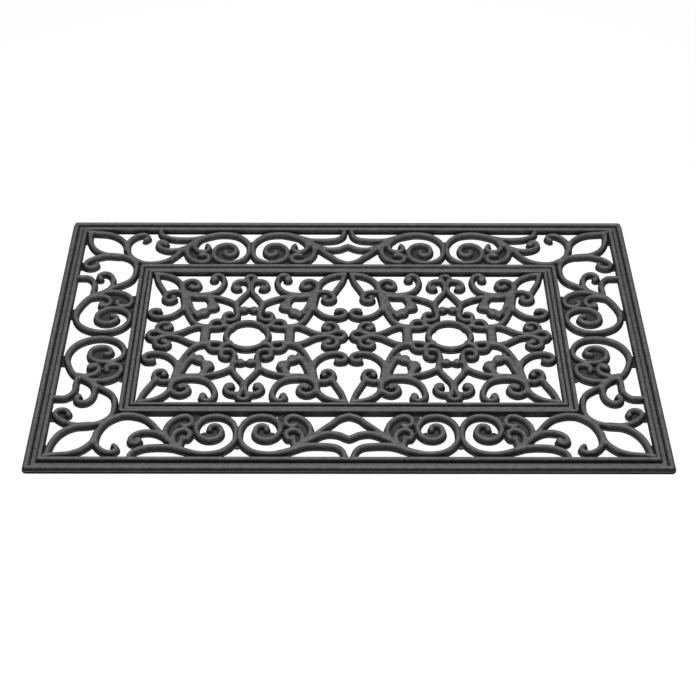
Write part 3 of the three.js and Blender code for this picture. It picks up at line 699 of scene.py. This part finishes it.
def seam_in(relief):
    """The points of the seam round the medallion's ring within a relief, and their edges."""
    turns = np.arange(SEAM_POINTS) * 2 * math.pi / SEAM_POINTS
    circle = on_circle(turns, PLACES.medallion, PLACES.seam_radius)
    within = np.all((circle > relief.low) & (circle < relief.high), axis=1)
    index_of = {turn: index for index, turn in enumerate(np.nonzero(within)[0])}
    edges = []
    for turn, index in index_of.items():
        following = (turn + 1) % SEAM_POINTS
        if following in index_of:
            edges.append((index, index_of[following]))
    return circle[within], edges


def drape(relief, ring_side=None):
    """The relief's points, heights and triangles, from the contours. With a ring side, "inside"
    or "outside", it ends at the seam round the medallion's ring."""
    points, edges, heights = [], [], []

    def add(found, lines, height):
        base = len(points)
        points.extend(found)
        edges.extend((int(start) + base, int(end) + base) for start, end in lines)
        heights.extend([height] * len(found))

    foot, *upper = relief.levels()
    add(*relief.contour(foot[0]), foot[1])
    outline_count = len(edges)
    for level, rise in upper:
        add(*relief.contour(level), rise)
    (left, front), (right, back) = relief.low, relief.high
    add(np.array([(left, front), (left, back), (right, front), (right, back)]), [], None)
    if ring_side:
        add(*seam_in(relief), None)
    coords, triangles, origins = fill_outline(points, edges, outline_count)
    rises = relief.height_at(coords)
    for index, origin in enumerate(origins):
        known = [heights[source] for source in origin if heights[source] is not None]
        if known:
            rises[index] = known[0]
    if ring_side:
        middles = coords[np.array(triangles)].mean(1)
        inner = np.linalg.norm(middles - PLACES.medallion, axis=1) < PLACES.seam_radius
        kept = inner if ring_side == "inside" else ~inner
        triangles = [face for face, is_kept in zip(triangles, kept) if is_kept]
    return coords, rises, triangles


def new_mesh(name, vertices, faces):
    mesh = bpy.data.meshes.new(name)
    mesh.from_pydata(vertices, [], faces)
    mesh.validate()
    return mesh


def closed_mesh(name, coords, rises, triangles):
    """A closed mesh with the skin on top, upright walls and a flat underside."""
    forward = set()
    for a, b, c in triangles:
        forward.update(((a, b), (b, c), (c, a)))
    rim = [(a, b) for a, b in sorted(forward) if (b, a) not in forward]
    rim_points = sorted({index for edge in rim for index in edge})
    place_of = {index: place for place, index in enumerate(rim_points)}
    flat = [coords[index] for index in rim_points]
    lines = [(place_of[a], place_of[b]) for a, b in rim]
    under, under_triangles, origins = fill_outline(flat, lines, len(lines))
    used = sorted({index for face in triangles for index in face})
    top_of = {index: place for place, index in enumerate(used)}
    base = len(used)
    foot_of = {
        rim_points[source]: base + place
        for place, origin in enumerate(origins) for source in origin
    }
    vertices = [(*coords[index], rises[index]) for index in used]
    vertices += [(x, y, 0.0) for x, y in under]
    faces = [tuple(top_of[index] for index in face) for face in triangles]
    faces += [(foot_of[a], foot_of[b], top_of[b], top_of[a]) for a, b in rim]
    faces += [tuple(base + index for index in reversed(face)) for face in under_triangles]
    return new_mesh(name, vertices, faces)


def add_ring_line(relief, sizes):
    """Adds the ring line round the medallion's centre, which the scrolls run into."""
    count = math.ceil(2 * math.pi * PLACES.ring_radius / sizes.line_step)
    turns = np.linspace(0, 2 * math.pi, count + 1)
    circle = on_circle(turns, PLACES.medallion, PLACES.ring_radius)
    relief.add_line(circle, sizes.foot_width / 2, sizes.fillet)


def panel_mesh(name, low, high, motif, mirrors, sizes):
    """A panel's mesh over one cell, from its motif and the mirror images beyond the cell."""
    relief = Relief(low, high, sizes)
    relief.add_with_mirrors(motif, mirrors)
    return closed_mesh(name, *drape(relief))


# Pieces

def quarters(front_back=FRONT_BACK):
    return [
        (f"{side_x}_{side_y}", sign_x, sign_y)
        for side_x, sign_x, _ in LEFT_RIGHT for side_y, _, sign_y in front_back
    ]


def add_mirrored(name, mesh, places):
    """Adds a piece at each of the places, mirrored from the mesh in the quarter at +X +Y."""
    for place, sign_x, sign_y in places:
        node = f"{name}_{place}"
        copy = mesh.copy()
        copy.name = f"{node}_skin"
        copy.transform(Matrix.Diagonal((sign_x, sign_y, 1, 1)))
        if sign_x * sign_y < 0:
            copy.flip_normals()
        add_piece(copy, node)


def add_piece(mesh, node):
    mesh.shade_smooth()
    mesh.set_sharp_from_angle(angle=bpy.context.scene.doormat_sizes.sharp_angle)
    mesh.materials.append(rubber_material())
    piece = bpy.data.objects.new(mesh.name, mesh)
    bpy.context.scene.collection.objects.link(piece)
    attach(piece, BODY)
    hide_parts(node)


def frame_side(name, profile_shares, width, height, half_length, half_width, sizes):
    """One side of a frame along X at +Y, with its corners rounded where the profile asks."""
    turns = np.linspace(math.pi / 4, math.pi / 2, sizes.corner_steps + 1)
    vertices = []
    for width_share, height_share in profile_shares:
        inward = width_share * width
        radius = max(sizes.corner_radius - inward, sizes.mitre_radius)
        centre_x = half_length - inward - radius
        centre_y = half_width - inward - radius
        right = [
            (centre_x + radius * math.cos(turn), centre_y + radius * math.sin(turn))
            for turn in turns
        ]
        left = [(-x, y) for x, y in reversed(right)]
        vertices += [(x, y, height_share * height) for x, y in right + left]
    rows = len(profile_shares)
    count = len(vertices) // rows
    faces = []
    for row in range(rows):
        this = row * count
        following = (row + 1) % rows * count
        for step in range(count - 1):
            faces.append((this + step, this + step + 1, following + step + 1, following + step))
    faces.append(tuple(row * count for row in range(rows)))
    faces.append(tuple(row * count + count - 1 for row in reversed(range(rows))))
    return new_mesh(name, vertices, faces)


def add_frame(name, profile_shares, width, height, half_x, half_y, sizes):
    """The four sides of a frame, from one long side and one short side."""
    long_side = frame_side(f"{name}_long", profile_shares, width, height, half_x, half_y, sizes)
    add_mirrored(name, long_side, FRONT_BACK)
    short_side = frame_side(f"{name}_short", profile_shares, width, height, half_y, half_x, sizes)
    short_side.transform(Matrix.Rotation(-math.pi / 2, 4, "Z"))
    add_mirrored(name, short_side, LEFT_RIGHT)


# Finish

def set_inputs(tree, node, inputs):
    """Sets a node's inputs, each to a value or to the output that feeds it."""
    for key, given in inputs.items():
        if isinstance(given, bpy.types.NodeSocket):
            tree.links.new(given, node.inputs[key])
        else:
            node.inputs[key].default_value = given


def add_node(tree, kind, inputs, **settings):
    node = tree.nodes.new(kind)
    for name, value in settings.items():
        setattr(node, name, value)
    set_inputs(tree, node, inputs)
    return node


def rubber_tint(tree, looks, blotches):
    """The rubber's colour, between its darker and its lighter patches."""
    tint = add_node(tree, "ShaderNodeValToRGB", {"Fac": blotches})
    patches = ((BLOTCH_DARK_AT, looks.dark_colour), (BLOTCH_LIGHT_AT, looks.colour))
    for element, (position, colour) in zip(tint.color_ramp.elements, patches):
        element.position = position
        element.color = (*colour, 1)
    return tint.outputs["Color"]


def painted_shade(tree, looks, place):
    """Painted shade: the share of the colour that is left in recesses, by occlusion, and at the
    foot of the relief, by height.
    """
    # Painted shade in recesses: the less open a place is, the darker its colour
    occlusion_probe = add_node(
        tree, "ShaderNodeAmbientOcclusion", {"Distance": looks.painted_recess_depth},
        samples=looks.painted_recess_samples,
    )
    painted_recess_share = add_node(tree, "ShaderNodeMapRange", {
        "Value": occlusion_probe.outputs["AO"],
        "From Min": looks.painted_recess_from,
        "From Max": looks.painted_recess_to,
        "To Min": looks.painted_recess_shade,
    })
    # Painted shade at the foot of the relief: the lower a place, the darker its colour
    axes = add_node(tree, "ShaderNodeSeparateXYZ", {"Vector": place})
    height_share = add_node(tree, "ShaderNodeMapRange", {
        "Value": axes.outputs["Z"],
        "From Min": looks.painted_shade_from_height,
        "From Max": looks.painted_shade_to_height,
        "To Min": looks.painted_foot_shade,
    })
    painted_shade_share = add_node(tree, "ShaderNodeMath", {
        0: painted_recess_share.outputs["Result"], 1: height_share.outputs["Result"],
    }, operation="MULTIPLY")
    return painted_shade_share.outputs["Value"]


def rubber_material():
    """Moulded black rubber: a dull sheen, faint blotches, a pebbled skin, and painted shade in the
    recesses and at the foot of the relief.
    """
    existing = bpy.data.materials.get("moulded_rubber")
    if existing:
        return existing
    looks = bpy.context.scene.doormat_looks
    material = bpy.data.materials.new("moulded_rubber")
    material.use_nodes = True
    tree = material.node_tree
    place = tree.nodes.new("ShaderNodeTexCoord").outputs["Object"]
    blotch = add_node(tree, "ShaderNodeTexNoise", {
        "Vector": place, "Scale": looks.blotch_density, "Detail": BLOTCH_DETAIL,
    })
    blotches = blotch.outputs["Fac"]
    # The blotchy tint is darkened by painted shade
    colour = add_node(tree, "ShaderNodeVectorMath", {
        "Vector": rubber_tint(tree, looks, blotches), "Scale": painted_shade(tree, looks, place),
    }, operation="SCALE")
    dull = add_node(tree, "ShaderNodeMapRange", {
        "Value": blotches,
        "To Min": looks.roughness - looks.roughness_spread,
        "To Max": looks.roughness + looks.roughness_spread,
    })
    grain = add_node(tree, "ShaderNodeTexNoise", {
        "Vector": place, "Scale": looks.grain_density, "Detail": GRAIN_DETAIL,
    })
    bump = add_node(tree, "ShaderNodeBump", {
        "Height": grain.outputs["Fac"],
        "Strength": looks.grain_strength,
        "Distance": looks.grain_depth,
    })
    set_inputs(tree, tree.nodes["Principled BSDF"], {
        "Base Color": colour.outputs["Vector"],
        "Roughness": dull.outputs["Result"],
        "Specular IOR Level": looks.gloss,
        "Normal": bump.outputs["Normal"],
    })
    return material


def floor_material(stage):
    """A floor that the camera sees near white and that throws little light on the mat."""
    material = bpy.data.materials.new("pale_floor")
    material.use_nodes = True
    tree = material.node_tree
    tree.nodes.clear()
    bounce = add_node(tree, "ShaderNodeBsdfDiffuse", {"Color": (*stage.floor_bounce, 1)})
    surface = add_node(tree, "ShaderNodeBsdfDiffuse", {"Color": (*stage.floor_colour, 1)})
    glow = add_node(tree, "ShaderNodeEmission", {"Color": WHITE, "Strength": 1})
    pale = add_node(tree, "ShaderNodeMixShader", {
        "Fac": stage.floor_shade, 1: glow.outputs["Emission"], 2: surface.outputs["BSDF"],
    })
    path = tree.nodes.new("ShaderNodeLightPath")
    seen = add_node(tree, "ShaderNodeMath", {
        0: path.outputs["Is Camera Ray"], 1: path.outputs["Is Transmission Ray"],
    }, operation="MAXIMUM")
    choice = add_node(tree, "ShaderNodeMixShader", {
        "Fac": seen.outputs["Value"], 1: bounce.outputs["BSDF"], 2: pale.outputs["Shader"],
    })
    add_node(tree, "ShaderNodeOutputMaterial", {"Surface": choice.outputs["Shader"]})
    return material


# Stage

def add_camera(scene, stage):
    data = bpy.data.cameras.new("camera")
    data.lens = stage.lens
    data.sensor_width = stage.sensor
    camera = bpy.data.objects.new("camera", data)
    camera.matrix_world = (
        Matrix.Translation(stage.eye)
        @ Matrix.Rotation(-stage.turn, 4, "Z")
        @ Matrix.Rotation(math.pi / 2 - stage.tilt, 4, "X")
        @ Matrix.Rotation(stage.roll, 4, "Z")
    )
    scene.collection.objects.link(camera)
    scene.camera = camera


def add_floor(scene, stage):
    half = stage.floor_size / 2
    corners = [(-half, -half, 0), (half, -half, 0), (half, half, 0), (-half, half, 0)]
    mesh = new_mesh("floor", corners, [(0, 1, 2, 3)])
    mesh.materials.append(floor_material(stage))
    floor = bpy.data.objects.new("floor", mesh)
    scene.collection.objects.link(floor)


def add_lamp(scene, stage):
    data = bpy.data.lights.new("soft_lamp", "AREA")
    data.shape = "DISK"
    data.size = stage.lamp_size
    data.energy = stage.lamp_power
    lamp = bpy.data.objects.new("soft_lamp", data)
    lamp.location = (0, 0, stage.lamp_height)
    scene.collection.objects.link(lamp)


def add_room(scene, stage):
    """A room that lights the mat faintly from all round and that the camera sees white."""
    world = bpy.data.worlds.new("pale_room")
    scene.world = world
    world.use_nodes = True
    tree = world.node_tree
    sky = tree.nodes["Background"]
    set_inputs(tree, sky, {"Color": WHITE, "Strength": stage.sky_strength})
    seen = add_node(tree, "ShaderNodeBackground", {"Color": WHITE})
    path = tree.nodes.new("ShaderNodeLightPath")
    choice = add_node(tree, "ShaderNodeMixShader", {
        "Fac": path.outputs["Is Camera Ray"],
        1: sky.outputs["Background"],
        2: seen.outputs["Background"],
    })
    set_inputs(tree, tree.nodes["World Output"], {"Surface": choice.outputs["Shader"]})


# Settings

class DoormatSizes(bpy.types.PropertyGroup):
    """Sizes of the strands, balls and rails"""
    foot_width: FloatProperty(
        name="Foot width", description="Width of a strand at its foot",
        default=0.007, min=0.002, unit="LENGTH")
    strand_height: FloatProperty(
        name="Strand height", description="Height of a strand's crest above the floor",
        default=0.0069, min=0.002, unit="LENGTH")
    fillet: FloatProperty(
        name="Fillet", description="How far two strands melt into each other where they meet",
        default=0.0018, min=0, unit="LENGTH")
    bar_width: FloatProperty(
        name="Bar width", description="Width of the thick bar beside each medallion",
        default=0.0106, min=0.002, unit="LENGTH")
    stalk_width: FloatProperty(
        name="Stalk width", description="Width of the stalk that carries the buds",
        default=0.009, min=0.002, unit="LENGTH")
    bridge_width: FloatProperty(
        name="Bridge width", description="Width of the bridge between two stems",
        default=0.0046, min=0.002, unit="LENGTH")
    small_ball_radius: FloatProperty(
        name="Small ball radius", description="Radius of a small curl's end",
        default=0.0036, min=0.001, unit="LENGTH")
    large_ball_radius: FloatProperty(
        name="Large ball radius", description="Radius of a large curl's end",
        default=0.0048, min=0.001, unit="LENGTH")
    bridge_ball_radius: FloatProperty(
        name="Bridge ball radius", description="Radius of the balls under the bridge",
        default=0.005, min=0.001, unit="LENGTH")
    upper_bud_radius: FloatProperty(
        name="Upper bud radius", description="Radius of the bud next to the stalk",
        default=0.0072, min=0.001, unit="LENGTH")
    lower_bud_radius: FloatProperty(
        name="Lower bud radius", description="Radius of the bud next to the arc",
        default=0.0064, min=0.001, unit="LENGTH")
    rail_bite: FloatProperty(
        name="Rail bite", description="How far a strand runs on into a rail's shoulder",
        default=0.0026, min=0, unit="LENGTH")
    corner_radius: FloatProperty(
        name="Corner radius", description="Radius of the mat's outer corners",
        default=0.0045, min=0.0005, unit="LENGTH")
    mitre_radius: FloatProperty(
        name="Mitre radius", description="Radius of the ribs where they turn a corner",
        default=0.0004, min=0.0001, unit="LENGTH")
    corner_steps: IntProperty(
        name="Corner steps", description="Straight steps in half a rounded corner",
        default=5, min=1)
    mesh_step: FloatProperty(
        name="Mesh step", description="Spacing of the points along the relief's contours",
        default=0.0007, min=0.0003, unit="LENGTH")
    line_step: FloatProperty(
        name="Line step", description="Spacing of the points along the ridge lines",
        default=0.001, min=0.0003, unit="LENGTH")
    sharp_angle: FloatProperty(
        name="Sharp angle", description="Edges that turn by more than this stay crisp",
        default=math.radians(50), min=0, max=math.pi, subtype="ANGLE")


class DoormatLooks(bpy.types.PropertyGroup):
    """Colour, sheen, skin and painted shade of the rubber"""
    colour: FloatVectorProperty(
        name="Colour", description="Rubber on its lighter patches", subtype="COLOR",
        default=(0.102, 0.102, 0.103), min=0, max=1)
    dark_colour: FloatVectorProperty(
        name="Dark colour", description="Rubber on its darker patches", subtype="COLOR",
        default=(0.064, 0.064, 0.065), min=0, max=1)
    # Painted shade that darkens the recesses, by how little of the room they see
    painted_recess_depth: FloatProperty(
        name="Recess depth", description="How near the walls of a recess stand that darken it",
        default=0.009, min=0.001, unit="LENGTH")
    painted_recess_samples: IntProperty(
        name="Recess samples", description="How finely the recesses are probed",
        default=8, min=1)
    painted_recess_from: FloatProperty(
        name="Recess from", description="Openness below which a recess is darkest",
        default=0.42, min=0, max=1, subtype="FACTOR")
    painted_recess_to: FloatProperty(
        name="Recess to", description="Openness above which nothing is darkened",
        default=0.95, min=0, max=1, subtype="FACTOR")
    painted_recess_shade: FloatProperty(
        name="Recess shade", description="Share of the colour left in the darkest recess",
        default=0.16, min=0, max=1, subtype="FACTOR")
    # Painted shade that darkens the foot of the relief, by height
    painted_foot_shade: FloatProperty(
        name="Low shade", description="Share of the colour left at the foot of the relief",
        default=0.35, min=0, max=1, subtype="FACTOR")
    painted_shade_from_height: FloatProperty(
        name="Shade from height", description="Height below which the low shade is full",
        default=0.0017, min=0, unit="LENGTH")
    painted_shade_to_height: FloatProperty(
        name="Shade to height", description="Height above which the low shade ends",
        default=0.0029, min=0, unit="LENGTH")
    gloss: FloatProperty(
        name="Gloss", description="Strength of the rubber's sheen",
        default=0.35, min=0, max=1, subtype="FACTOR")
    roughness: FloatProperty(
        name="Roughness", description="Dullness of the rubber's sheen",
        default=0.55, min=0, max=1, subtype="FACTOR")
    roughness_spread: FloatProperty(
        name="Roughness spread", description="How much the dullness varies",
        default=0.08, min=0, max=0.5, subtype="FACTOR")
    blotch_density: FloatProperty(
        name="Blotch density", description="Blotches of tint to a metre",
        default=240, min=1)
    grain_density: FloatProperty(
        name="Grain density", description="Pebbles of the skin to a metre",
        default=1400, min=1)
    grain_strength: FloatProperty(
        name="Grain strength", description="How strongly the pebbled skin shows",
        default=0.35, min=0, max=1, subtype="FACTOR")
    grain_depth: FloatProperty(
        name="Grain depth", description="Depth of the pebbled skin",
        default=0.0002, min=0, unit="LENGTH")


class DoormatStage(bpy.types.PropertyGroup):
    """Camera, light and floor"""
    eye: FloatVectorProperty(
        name="Eye", description="Place of the camera",
        default=(-0.0095, -1.3504, 1.0635), subtype="TRANSLATION", unit="LENGTH")
    tilt: FloatProperty(
        name="Tilt", description="How far the camera looks down",
        default=math.radians(38.533), subtype="ANGLE")
    turn: FloatProperty(
        name="Turn", description="How far the camera looks to the right",
        default=math.radians(0.385), subtype="ANGLE")
    roll: FloatProperty(
        name="Roll", description="How far the camera leans to the left",
        default=math.radians(0.315), subtype="ANGLE")
    lens: FloatProperty(
        name="Lens", description="Focal length on a sensor of the width below",
        default=88.26, min=1, subtype="DISTANCE_CAMERA")
    sensor: FloatProperty(
        name="Sensor", description="Width of the camera's sensor",
        default=36, min=1, subtype="DISTANCE_CAMERA")
    lamp_height: FloatProperty(
        name="Lamp height", description="Height of the soft lamp over the mat",
        default=1.6, min=0.1, unit="LENGTH")
    lamp_size: FloatProperty(
        name="Lamp size", description="Width of the soft lamp",
        default=1.4, min=0.01, unit="LENGTH")
    lamp_power: FloatProperty(
        name="Lamp power", description="Power of the soft lamp",
        default=42, min=0, unit="POWER")
    sky_strength: FloatProperty(
        name="Sky strength", description="Strength of the light from all round",
        default=0.03, min=0)
    floor_size: FloatProperty(
        name="Floor size", description="Width of the floor",
        default=14, min=1, unit="LENGTH")
    floor_colour: FloatVectorProperty(
        name="Floor colour", description="Colour of the floor where its shading shows",
        subtype="COLOR", default=(0.9, 0.9, 0.9), min=0, max=1)
    floor_bounce: FloatVectorProperty(
        name="Floor bounce", description="Colour of the light that the floor throws back",
        subtype="COLOR", default=(0.1, 0.1, 0.1), min=0, max=1)
    floor_shade: FloatProperty(
        name="Floor shade", description="How much of the floor's shading the camera sees",
        default=0.12, min=0, max=1, subtype="FACTOR")


# Operators

class DOORMAT_OT_outer_frame(bpy.types.Operator):
    """Builds the ribbed frame at the mat's edge"""
    bl_idname = "doormat.outer_frame"
    bl_label = "Outer frame"

    def execute(self, context):
        add_frame(
            "outer_rail", OUTER_RAIL_SHARES, PLACES.outer_rail_width, PLACES.outer_rail_height,
            PLACES.mat_x, PLACES.mat_y, context.scene.doormat_sizes,
        )
        return {"FINISHED"}


class DOORMAT_OT_inner_frame(bpy.types.Operator):
    """Builds the ribbed frame round the field"""
    bl_idname = "doormat.inner_frame"
    bl_label = "Inner frame"

    def execute(self, context):
        add_frame(
            "inner_rail", INNER_RAIL_SHARES, PLACES.inner_rail_width, PLACES.inner_rail_height,
            PLACES.border_inner_x, PLACES.border_inner_y, context.scene.doormat_sizes,
        )
        return {"FINISHED"}


class DOORMAT_OT_medallion_rings(bpy.types.Operator):
    """Builds the two rings at the medallions' centres, out to the seam round them"""
    bl_idname = "doormat.medallion_rings"
    bl_label = "Medallion rings"

    def execute(self, context):
        sizes = context.scene.doormat_sizes
        reach = PLACES.seam_radius + sizes.foot_width
        relief = Relief(PLACES.medallion - reach, PLACES.medallion + reach, sizes)
        for towards_end in (False, True):
            motif = field_motif(sizes, towards_end)
            relief.add_motif(motif, sizes.fillet)
            relief.add_motif(motif.mirrored(Y, 0), sizes.fillet)
        add_ring_line(relief, sizes)
        mesh = closed_mesh("medallion_ring", *drape(relief, "inside"))
        add_mirrored("medallion_ring", mesh, LEFT_RIGHT)
        return {"FINISHED"}


class DOORMAT_OT_field_scrolls(bpy.types.Operator):
    """Builds the scrolls of the field, in eight quadrants round the two medallions"""
    bl_idname = "doormat.field_scrolls"
    bl_label = "Field scrolls"

    def execute(self, context):
        sizes = context.scene.doormat_sizes
        medallion_x = PLACES.medallion_x
        for name, towards_end in (("field_scroll_middle", False), ("field_scroll_end", True)):
            mirrors = [(Y, 0), (X, medallion_x)]
            if towards_end:
                from_x, to_x = medallion_x, PLACES.field_x + sizes.rail_bite
            else:
                from_x, to_x = 0, medallion_x
                mirrors.append((X, 0))
            relief = Relief((from_x, 0), (to_x, PLACES.field_y + sizes.rail_bite), sizes)
            relief.add_with_mirrors(field_motif(sizes, towards_end), mirrors)
            add_ring_line(relief, sizes)
            mesh = closed_mesh(name, *drape(relief, "outside"))
            add_mirrored(name, mesh, quarters())
        return {"FINISHED"}


class DOORMAT_OT_long_border(bpy.types.Operator):
    """Builds the scrolls of the two long borders"""
    bl_idname = "doormat.long_border"
    bl_label = "Long border"

    def execute(self, context):
        sizes = context.scene.doormat_sizes
        bite = sizes.rail_bite
        cell = PLACES.long_cell
        for name, towards_end in (("long_scroll_middle", False), ("long_scroll_end", True)):
            from_x = cell if towards_end else 0
            mirrors = [(X, cell)] if towards_end else [(X, cell), (X, 0)]
            low = (from_x, PLACES.border_inner_y - bite)
            high = (from_x + cell, PLACES.border_outer_y + bite)
            for border in FRONT_BACK:
                motif = long_motif(sizes, towards_end, border[0] == "front")
                mesh = panel_mesh(name, low, high, motif, mirrors, sizes)
                add_mirrored(name, mesh, quarters([border]))
        return {"FINISHED"}


class DOORMAT_OT_corners(bpy.types.Operator):
    """Builds the four corner leaves with their hooks"""
    bl_idname = "doormat.corners"
    bl_label = "Corners"

    def execute(self, context):
        sizes = context.scene.doormat_sizes
        bite = sizes.rail_bite
        low = (PLACES.corner_from_x, PLACES.corner_from_y)
        high = (PLACES.border_outer_x + bite, PLACES.border_outer_y + bite)
        mesh = panel_mesh("corner_scroll", low, high, corner_motif(sizes), [], sizes)
        add_mirrored("corner_scroll", mesh, quarters())
        return {"FINISHED"}


class DOORMAT_OT_short_border(bpy.types.Operator):
    """Builds the scrolls of the two short borders"""
    bl_idname = "doormat.short_border"
    bl_label = "Short border"

    def execute(self, context):
        sizes = context.scene.doormat_sizes
        bite = sizes.rail_bite
        low = (PLACES.border_inner_x - bite, 0)
        high = (PLACES.border_outer_x + bite, PLACES.corner_from_y)
        mesh = panel_mesh("side_scroll", low, high, side_motif(sizes), [(Y, 0)], sizes)
        add_mirrored("side_scroll", mesh, quarters())
        return {"FINISHED"}


class DOORMAT_OT_stage(bpy.types.Operator):
    """Sets the floor, the soft light and the camera"""
    bl_idname = "doormat.stage"
    bl_label = "Stage"

    def execute(self, context):
        scene = context.scene
        stage = scene.doormat_stage
        scene.view_settings.view_transform = "Standard"
        add_camera(scene, stage)
        add_floor(scene, stage)
        add_lamp(scene, stage)
        add_room(scene, stage)
        return {"FINISHED"}


OPERATORS = (
    DOORMAT_OT_stage,
    DOORMAT_OT_outer_frame,
    DOORMAT_OT_inner_frame,
    DOORMAT_OT_medallion_rings,
    DOORMAT_OT_field_scrolls,
    DOORMAT_OT_long_border,
    DOORMAT_OT_corners,
    DOORMAT_OT_short_border,
)


class DOORMAT_PT_panel(bpy.types.Panel):
    """Lists the doormat's settings, its pieces and its stage"""
    bl_idname = "DOORMAT_PT_panel"
    bl_label = "Scroll Doormat"
    bl_space_type = "VIEW_3D"
    bl_region_type = "UI"
    bl_category = "Doormat"

    def draw(self, context):
        layout = self.layout
        scene = context.scene
        for settings in (scene.doormat_sizes, scene.doormat_looks, scene.doormat_stage):
            box = layout.box()
            for name in settings.__annotations__:
                box.prop(settings, name)
        for operator in OPERATORS:
            layout.operator(operator.bl_idname)


CLASSES = (DoormatSizes, DoormatLooks, DoormatStage, *OPERATORS, DOORMAT_PT_panel)


def register():
    for cls in CLASSES:
        bpy.utils.register_class(cls)
    bpy.types.Scene.doormat_sizes = PointerProperty(type=DoormatSizes)
    bpy.types.Scene.doormat_looks = PointerProperty(type=DoormatLooks)
    bpy.types.Scene.doormat_stage = PointerProperty(type=DoormatStage)


def unregister():
    del bpy.types.Scene.doormat_stage
    del bpy.types.Scene.doormat_looks
    del bpy.types.Scene.doormat_sizes
    for cls in reversed(CLASSES):
        bpy.utils.unregister_class(cls)


def main():
    register()
    bpy.ops.doormat.stage()
    bpy.ops.doormat.outer_frame()
    bpy.ops.doormat.inner_frame()
    bpy.ops.doormat.medallion_rings()
    bpy.ops.doormat.field_scrolls()
    bpy.ops.doormat.long_border()
    bpy.ops.doormat.corners()
    bpy.ops.doormat.short_border()


if __name__ == "__main__":
    main()
